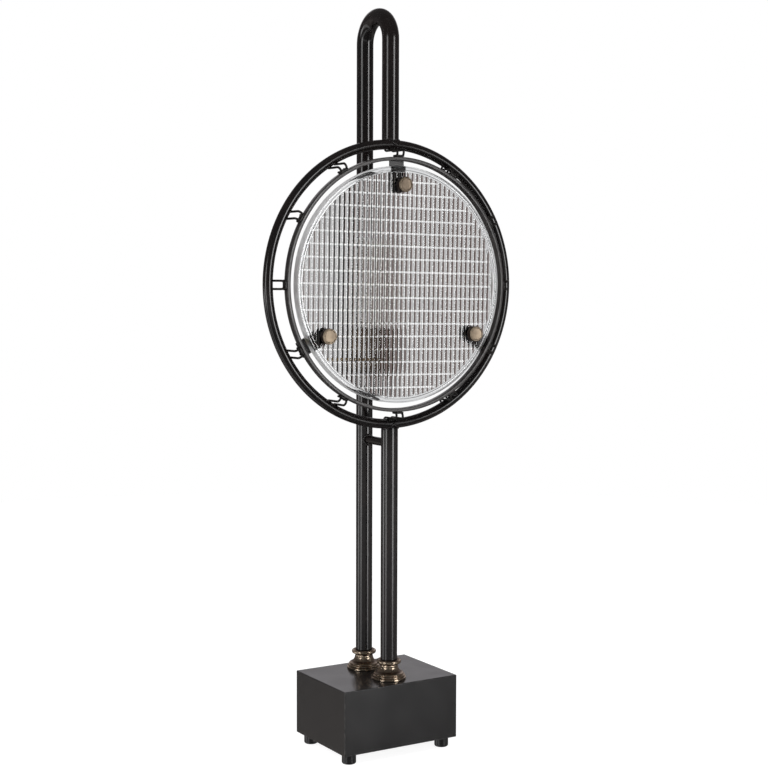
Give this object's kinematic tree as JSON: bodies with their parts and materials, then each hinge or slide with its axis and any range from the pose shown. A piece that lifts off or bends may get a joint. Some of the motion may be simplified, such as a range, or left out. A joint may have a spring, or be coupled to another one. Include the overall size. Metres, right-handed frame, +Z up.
{
  "type": "tabletop searchlight lamp",
  "caption": "Tabletop searchlight lamp: hairpin post on a block base, ring carrying a fluted round glass on spring clips, tubular bulb behind it.",
  "frame": {"origin": "on the floor under the middle of the base, at the bottom of the rubber feet", "axes": "+Z up; the fluted glass faces -Y and the rear post stands on the +Y side; the switch key reaches out along -X"},
  "size_m": [0.321, 0.1195, 0.838],
  "materials": {
    "base_paint": "satin",
    "ballast_iron": "rough",
    "plain_steel": "satin",
    "foot_rubber": "matt",
    "bush_plastic": "matt",
    "frame_paint": "semi-gloss",
    "collar_brass": "polished, aged",
    "ring_paint": "satin",
    "clip_steel": "darkened",
    "lens_glass": "pressed, fluted",
    "stud_brass": "satin",
    "washer_rubber": "matt",
    "knob_brass": "satin, aged",
    "socket_brass": "satin, aged",
    "sleeve_fibre": "matt",
    "core_ceramic": "glazed",
    "contact_brass": "satin",
    "key_brass": "polished",
    "cap_aluminium": "satin",
    "bulb_glass": "clear",
    "filament_steel": "satin"
  },
  "bodies": {
    "frame": {"base_block": "base_paint", "base_plate": "base_paint", "ballast_weight": "ballast_iron", "ballast_screws": "plain_steel", "feet": "foot_rubber", "foot_screws": "plain_steel", "cord_bush": "bush_plastic", "bush_nut": "plain_steel", "hairpin_post": "frame_paint", "front_post": "frame_paint", "stretcher": "frame_paint", "front_collar": "collar_brass", "rear_collar": "collar_brass", "post_bushes": "plain_steel", "threaded_nipples": "plain_steel", "nipple_washers": "plain_steel", "nipple_nuts": "plain_steel", "outer_ring": "frame_paint", "inner_ring": "ring_paint", "spring_clips": "clip_steel", "front_glass": "lens_glass", "bracket_top": "ring_paint", "bracket_left": "ring_paint", "bracket_right": "ring_paint", "knob_studs": "stud_brass", "stud_nuts": "stud_brass", "rear_washers": "washer_rubber", "front_washers": "washer_rubber", "socket_arm": "frame_paint", "socket_cap": "socket_brass", "socket_shell": "socket_brass", "insulating_sleeve": "sleeve_fibre", "socket_core": "core_ceramic", "thread_shell": "contact_brass", "centre_contact": "contact_brass"},
    "knob_top": {"knob_top": "knob_brass"},
    "knob_left": {"knob_left": "knob_brass"},
    "knob_right": {"knob_right": "knob_brass"},
    "switch_key": {"key_rod": "contact_brass", "key_grip": "key_brass"},
    "bulb": {"bulb_cap": "cap_aluminium", "bulb_tip": "contact_brass", "bulb_glass": "bulb_glass", "bulb_filament": "filament_steel"}
  },
  "joints": [
    {"name": "knob_top_turn", "type": "hinge", "parent": "frame", "child": "knob_top", "pos_m": [0, -0.0575, 0.6395], "axis": [0, -1, 0], "continuous": true},
    {"name": "knob_left_turn", "type": "hinge", "parent": "frame", "child": "knob_left", "pos_m": [-0.09526, -0.0575, 0.4745], "axis": [0, -1, 0], "continuous": true},
    {"name": "knob_right_turn", "type": "hinge", "parent": "frame", "child": "knob_right", "pos_m": [0.09526, -0.0575, 0.4745], "axis": [0, -1, 0], "continuous": true},
    {"name": "key_turn", "type": "hinge", "parent": "frame", "child": "switch_key", "pos_m": [-0.03, -0.003, 0.446], "axis": [-1, 0, 0], "continuous": true},
    {"name": "bulb_unscrew", "type": "slide", "parent": "frame", "child": "bulb", "axis": [0, 0, 1], "range_m": [0, 0.03]}
  ]
}
